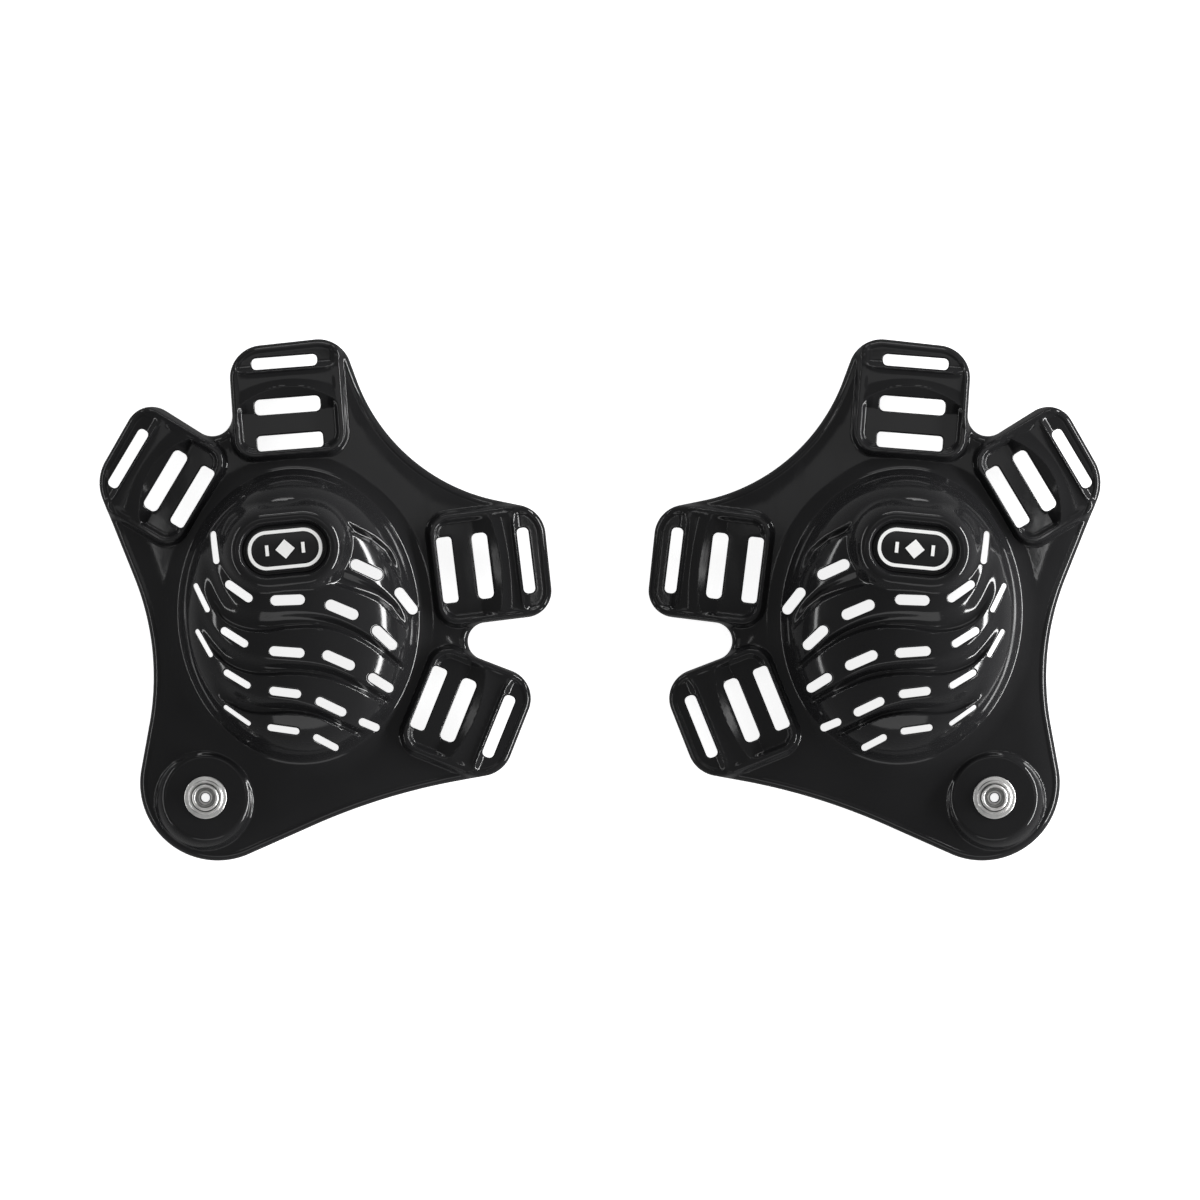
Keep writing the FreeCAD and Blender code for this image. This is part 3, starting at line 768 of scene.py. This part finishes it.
def normals_of(height, x, y):
    """Normals of a height field, from its slopes."""
    step = NORMAL_STEP
    slope_x = (height(x + step, y) - height(x - step, y)) / (2 * step)
    slope_y = (height(x, y + step) - height(x, y - step)) / (2 * step)
    length = np.sqrt(slope_x ** 2 + slope_y ** 2 + 1)
    return np.stack((-slope_x / length, -slope_y / length, 1 / length), 1)


def shell_mesh():
    """Vertices in millimetres, triangles and vertex normals of one shell."""
    top, top_faces = face_sheet(True)
    under, under_faces = face_sheet(False)
    top_z = top_height(top[:, 0], top[:, 1])
    under_z = under_height(under[:, 0], under[:, 1])
    top_normals = normals_of(top_height, top[:, 0], top[:, 1])
    near_rim = edge_depth(top[:, 0], top[:, 1]) < ON_EDGE
    near_rim |= nearest_slot(top[:, 0], top[:, 1], HOLES) < ON_HOLE
    top_normals[near_rim] = 0
    vertices = [np.column_stack((top, top_z)), np.column_stack((under, under_z))]
    normals = [top_normals, np.zeros((len(under), 3))]
    faces = [top_faces, under_faces[:, ::-1] + len(top)]
    start = len(top) + len(under)
    for index, loop in enumerate(boundary_loops()):
        count = len(loop)
        upper = top_height(loop[:, 0], loop[:, 1])
        lower = under_height(loop[:, 0], loop[:, 1])
        vertices += [np.column_stack((loop, upper)), np.column_stack((loop, lower))]
        normals.append(np.zeros((2 * count, 3)))
        here = np.arange(count)
        following = (here + 1) % count
        wall = np.concatenate((
            np.stack((here, following, here + count), 1),
            np.stack((following, following + count, here + count), 1),
        )) + start
        faces.append(wall)
        start += 2 * count
    return np.concatenate(vertices), np.concatenate(faces), np.concatenate(normals)


# -------------------------------------------------------------------- pieces

FACING = {"left": 1, "right": -1}


def guard_origins():
    """Origins of the two guards in the frame, from where their snap studs sit."""
    origins = {}
    for side in SIDES:
        low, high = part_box(side + "_snap_stud")
        centre = [(low[axis] + high[axis]) / 2 for axis in (0, 1)]
        origins[side] = Vector((
            centre[0] - FACING[side] * SNAP[0] * MM, centre[1] - SNAP[1] * MM, low[2] - SNAP_SEAT * MM,
        ))
    return origins


ORIGINS = guard_origins()


def add_piece(part, side, vertices, faces, normals=None, at=(0, 0, 0), slot="shell_plastic", sharp=None):
    """One piece of one guard, from millimetre points; the right one is mirrored."""
    name = side + "_" + part
    facing = FACING[side]
    points = np.array(vertices, float) * MM * (facing, 1, 1)
    faces = [tuple(face) if facing > 0 else tuple(face)[::-1] for face in faces]
    mesh = bpy.data.meshes.new(name + "_moulded")
    mesh.from_pydata(points.tolist(), [], faces)
    mesh.update()
    mesh.polygons.foreach_set("use_smooth", [True] * len(mesh.polygons))
    if normals is not None:
        mesh.normals_split_custom_set_from_vertices((normals * (facing, 1, 1)).tolist())
    if sharp is not None:
        mesh.set_sharp_from_angle(angle=math.radians(sharp))
    piece = bpy.data.objects.new(name + "_moulded", mesh)
    bpy.context.collection.objects.link(piece)
    piece.location = ORIGINS[side] + Vector((at[0] * facing, at[1], at[2])) * MM
    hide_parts(name)
    bpy.context.view_layer.update()
    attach(piece, side + "_guard")
    return piece


def lathed(profile, count):
    """A closed profile of radius and height swept round the vertical axis."""
    angles = np.arange(count) * 2 * math.pi / count
    vertices = [(radius * math.cos(angle), radius * math.sin(angle), height)
                for angle in angles for radius, height in profile]
    size = len(profile)
    faces = []
    for turn in range(count):
        for index in range(size):
            here = turn * size
            beyond = (turn + 1) % count * size
            following = (index + 1) % size
            faces.append((here + index, beyond + index, beyond + following, here + following))
    return vertices, faces


def plate(outline, levels, count):
    """A flat plate: an outline grown by each level's offset, with closed ends."""
    vertices = []
    faces = []
    for offset, height in levels:
        vertices += [(x, y, height) for x, y in slot_loop(outline, offset, count)]
    for level in range(len(levels) - 1):
        for index in range(count):
            following = (index + 1) % count
            low = level * count
            high = low + count
            faces.append((low + index, low + following, high + following, high + index))
    faces.append(tuple(range(count))[::-1])
    faces.append(tuple(range((len(levels) - 1) * count, len(levels) * count)))
    return vertices, faces


# Snap parts, as radius and height above the boss's seat.
STUD_PROFILE = (
    (1.75, 0), (6.2, 0), (6.35, 0.08), (6.4, 0.25), (6.36, 0.45), (6.2, 0.58), (6.05, 0.6), (5.35, 0.6),
    (5.26, 0.64), (5.02, 0.98), (4.9, 1.06), (4.75, 1.08), (4.4, 1.08), (4.3, 1.0), (4.22, 0.7),
    (4.1, 0.66), (4.02, 0.75), (3.96, 1.2), (3.96, 1.9), (4.02, 2.3), (4.0, 2.6), (3.86, 2.84),
    (3.6, 2.98), (3.35, 3.0), (3.2, 2.93), (3.08, 2.7), (2.86, 1.6), (2.8, 1.1), (2.66, 0.9), (2.3, 0.86), (1.75, 0.86),
)
EYELET_PROFILE = (
    (1.7, -2.4), (4.9, -2.4), (5.12, -2.46), (5.2, -2.64), (5.12, -2.84), (4.9, -2.9), (1.75, -2.9),
    (1.48, -2.8), (1.35, -2.5), (1.35, 0.95), (1.42, 1.2), (1.6, 1.34), (1.85, 1.37), (2.08, 1.28),
    (2.2, 1.08), (2.12, 0.93), (1.72, 0.89),
)
# The plate's levels from its foot up: offset of the outline, and height.
PLATE_LEVELS = ((0, 0), (0, 0.6), (-0.05, 0.76), (-0.16, 0.86), (-0.32, 0.9))
STUD_SIDES = 96
EYELET_SIDES = 72
PLATE_POINTS = 120

shell = shell_mesh()
stud = lathed(STUD_PROFILE, STUD_SIDES)
eyelet = lathed(EYELET_PROFILE, EYELET_SIDES)
badge_plate = plate(round_ended(0, 0, BADGE_TURN, PLATE_LENGTH, PLATE_WIDTH), PLATE_LEVELS, PLATE_POINTS)
snap_at = {"at": (*SNAP, SNAP_SEAT), "slot": "snap_metal", "sharp": 50}
plate_at = {"at": (*BADGE, PLATE_FLOOR), "slot": "badge_plastic", "sharp": 40}

SHELLS = [add_piece("shell", side, *shell) for side in SIDES]
STUDS = [add_piece("snap_stud", side, *stud, **snap_at) for side in SIDES]
EYELETS = [add_piece("snap_eyelet", side, *eyelet, **snap_at) for side in SIDES]
PLATES = [add_piece("badge_plate", side, *badge_plate, **plate_at) for side in SIDES]
PRINTS = [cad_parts[side + "_badge_print"] for side in SIDES]


# ------------------------------------------------------------------ finishes

class Flow:
    """A socket of a finish; sums with it add Math nodes."""

    def __init__(self, finish, socket):
        self.finish = finish
        self.socket = socket

    def maths(self, operation, *values):
        return self.finish.node("ShaderNodeMath", {"operation": operation}, dict(enumerate(values)))

    def __add__(self, other):
        return self.maths("ADD", self, other)

    def __radd__(self, other):
        return self.maths("ADD", other, self)

    def __sub__(self, other):
        return self.maths("SUBTRACT", self, other)

    def __rsub__(self, other):
        return self.maths("SUBTRACT", other, self)

    def __mul__(self, other):
        return self.maths("MULTIPLY", self, other)

    def __rmul__(self, other):
        return self.maths("MULTIPLY", other, self)

    def __truediv__(self, other):
        return self.maths("DIVIDE", self, other)

    def __rtruediv__(self, other):
        return self.maths("DIVIDE", other, self)


class Finish:
    """A material built up node by node."""

    def __init__(self, name):
        self.material = bpy.data.materials.new(name)
        self.material.use_nodes = True
        self.tree = self.material.node_tree
        self.shader = self.tree.nodes["Principled BSDF"]

    def node(self, kind, settings, inputs, output=0):
        """Adds a node; inputs are values or flows by socket name or number."""
        made = self.tree.nodes.new(kind)
        for name, value in settings.items():
            setattr(made, name, value)
        for name, value in inputs.items():
            self.feed(made.inputs[name], value)
        return Flow(self, made.outputs[output])

    def feed(self, socket, value):
        if isinstance(value, Flow):
            self.tree.links.new(value.socket, socket)
        else:
            socket.default_value = value

    def position(self):
        """Place on the piece, in metres."""
        return self.node("ShaderNodeTexCoord", {}, {}, "Object")

    def noise(self, scale, detail=2, stretch=(1, 1, 1)):
        """Mottling from 0 to 1, with about this many blotches to the metre."""
        place = self.node("ShaderNodeVectorMath", {"operation": "MULTIPLY"}, {0: self.position(), 1: stretch})
        return self.node("ShaderNodeTexNoise", {}, {"Vector": place, "Scale": scale, "Detail": detail})

    def between(self, share, low, high):
        """A colour between two, by a share."""
        colours = {"Factor": share, 6: (*low, 1), 7: (*high, 1)}
        return self.node("ShaderNodeMix", {"data_type": "RGBA"}, colours, 2)

    def above_zero(self, flow):
        return self.node("ShaderNodeMath", {"operation": "MAXIMUM"}, {0: flow, 1: 0})

    def bump(self, height, depth):
        return self.node("ShaderNodeBump", {}, {"Height": height, "Strength": 1.0, "Distance": depth})

    def set(self, **values):
        """Feeds the shader's own sockets, named with _ for each space."""
        for name, value in values.items():
            self.feed(self.shader.inputs[name.replace("_", " ")], value)

    def cover(self, pieces):
        for piece in pieces:
            piece.data.materials.clear()
            piece.data.materials.append(self.material)


def polished_black(name, haze, grain):
    """Injection-moulded black plastic, polished, with faint haze and rubs.

    Haze is how far roughness varies, and grain the ripple's depth in metres.
    """
    finish = Finish(name)
    blotches = finish.noise(45, 3)
    rubs = finish.noise(160, 4, (1, 0.25, 1))
    peel = finish.noise(420, 2)
    speck = finish.noise(5200, 1)
    wear = finish.above_zero(rubs - 0.56)
    finish.set(
        Base_Color=finish.between(blotches, (0.008, 0.008, 0.0085), (0.0135, 0.0135, 0.0142)),
        Roughness=blotches * haze + wear * 0.5 + haze * 0.6,
        Normal=finish.bump(peel * 0.8 + speck * 0.01, grain),
        Specular_IOR_Level=0.24,
    )
    return finish


polished_black("shell_black", 0.09, 0.000012).cover(SHELLS)
polished_black("badge_black", 0.16, 0.000008).cover(PLATES)


# Painted shade in the crevices of a snap, darkening the metal's colour: radius and width in metres, then strength.
SHADED_CREVICES = (
    (0.00416, 0.00022, 1), (0.00516, 0.00018, 0.5), (0.00232, 0.00025, 0.7), (0.00145, 0.0003, 1),
)
# How fast the turning rings follow one another, in radians to the metre.
RING_PACE = 26000


def painted_crevice_shade(finish, radius, at, width):
    """Painted shade: 1 in a crevice at a radius, fading to nothing at its width."""
    away = finish.node("ShaderNodeMath", {"operation": "ABSOLUTE"}, {0: radius - at})
    return finish.above_zero(1 - away / width)


def satin_nickel():
    """Turned and plated metal: fine rings round the fastener, softly worn, with painted shade darkening its crevices.
    """
    finish = Finish("satin_nickel")
    place = {0: finish.position(), 1: (1, 1, 0)}
    flat = finish.node("ShaderNodeVectorMath", {"operation": "MULTIPLY"}, place)
    radius = finish.node("ShaderNodeVectorMath", {"operation": "LENGTH"}, {0: flat}, "Value")
    rings = finish.node("ShaderNodeMath", {"operation": "SINE"}, {0: radius * RING_PACE}) * 0.5 + 0.5
    # Painted shade: the metal's colour is darkened in the grooves between the snap's turned steps.
    painted_shade = sum(painted_crevice_shade(finish, radius, at, width) * strength for at, width, strength in SHADED_CREVICES)
    tarnish = finish.noise(700, 3)
    grit = finish.noise(9000, 1)
    finish.set(
        # Colour: random tarnish, plus painted shade in the crevices.
        Base_Color=finish.between(tarnish * 0.5 + painted_shade, (0.8, 0.795, 0.78), (0.16, 0.16, 0.16)),
        Metallic=1.0,
        Roughness=tarnish * 0.12 + grit * 0.06 + 0.34,
        Normal=finish.bump(rings * 0.6 + grit * 0.4, 0.00001),
    )
    return finish


satin_nickel().cover(STUDS + EYELETS)


def printed_white():
    """Matt pad-printed white, slightly uneven over the black plate."""
    finish = Finish("printed_white")
    cover = finish.noise(900, 3)
    tooth = finish.noise(7000, 2)
    finish.set(
        Base_Color=finish.between(cover, (0.86, 0.86, 0.85), (0.95, 0.95, 0.94)),
        Roughness=cover * 0.2 + 0.45,
        Normal=finish.bump(tooth, 0.00001),
    )
    return finish


printed_white().cover(PRINTS)


# ---------------------------------------------------------- floor and lighting

FLOOR_HALF = 8.0
FLOOR_GLOW = 0.85


def add_floor():
    """A glowing white table, kept out of mirror reflections."""
    half = FLOOR_HALF
    corners = [(-half, -half, 0), (half, -half, 0), (half, half, 0), (-half, half, 0)]
    mesh = bpy.data.meshes.new("light_table")
    mesh.from_pydata(corners, [], [(0, 1, 2, 3)])
    floor = bpy.data.objects.new("light_table", mesh)
    bpy.context.collection.objects.link(floor)
    finish = Finish("white_table")
    finish.set(
        Base_Color=(0.9, 0.9, 0.9, 1),
        Roughness=0.8,
        Emission_Color=(1, 1, 1, 1),
        Emission_Strength=FLOOR_GLOW,
    )
    finish.cover([floor])
    floor.visible_glossy = False


def add_softbox(name, at, aim, across, along, power):
    """An even rectangular lamp aimed at a point."""
    lamp = bpy.data.lights.new(name, "AREA")
    lamp.shape = "RECTANGLE"
    lamp.size = across
    lamp.size_y = along
    lamp.energy = power
    softbox = bpy.data.objects.new(name, lamp)
    bpy.context.collection.objects.link(softbox)
    softbox.location = at
    softbox.rotation_euler = (Vector(aim) - Vector(at)).to_track_quat("-Z", "Y").to_euler()


add_floor()
MIDDLE = (0, 0, 0.02)
add_softbox("panel_over", (0.0, 1.1, 4.0), MIDDLE, 2.0, 1.3, 6)
add_softbox("panel_back", (0.0, 3.4, 2.2), MIDDLE, 2.0, 0.8, 10)
add_softbox("panel_front", (0.0, -3.0, 1.3), MIDDLE, 2.2, 1.0, 13)
add_softbox("softbox_back", (0.0, 1.15, 0.35), MIDDLE, 0.8, 0.12, 2.5)
add_softbox("strip_right", (1.3, 0.0, 0.3), MIDDLE, 2.0, 0.16, 48)
add_softbox("strip_left", (-1.3, 0.0, 0.3), MIDDLE, 2.0, 0.1, 7)
add_softbox("window_right", (0.84, 0.14, 2.5), MIDDLE, 0.5, 0.06, 1.0)
add_softbox("window_left", (-0.84, 0.14, 2.5), MIDDLE, 0.5, 0.06, 0.5)

AIR_GLOW = 0.28
scene = bpy.context.scene
world = bpy.data.worlds.new("studio_air")
world.use_nodes = True
background = world.node_tree.nodes["Background"]
background.inputs["Color"].default_value = (1, 1, 1, 1)
background.inputs["Strength"].default_value = AIR_GLOW
scene.world = world
scene.view_settings.view_transform = "Standard"

# How wide the view is, in metres, at a height in the middle of the part.
CAMERA_HEIGHT = 4.0
VIEW_WIDTH = 0.36
VIEW_LEVEL = 0.012
lens = bpy.data.cameras.new("overhead")
lens.sensor_width = 36
lens.lens = lens.sensor_width * (CAMERA_HEIGHT - VIEW_LEVEL) / VIEW_WIDTH
lens.clip_end = 20
camera = bpy.data.objects.new("overhead", lens)
bpy.context.collection.objects.link(camera)
camera.location = (0, 0, CAMERA_HEIGHT)
scene.camera = camera
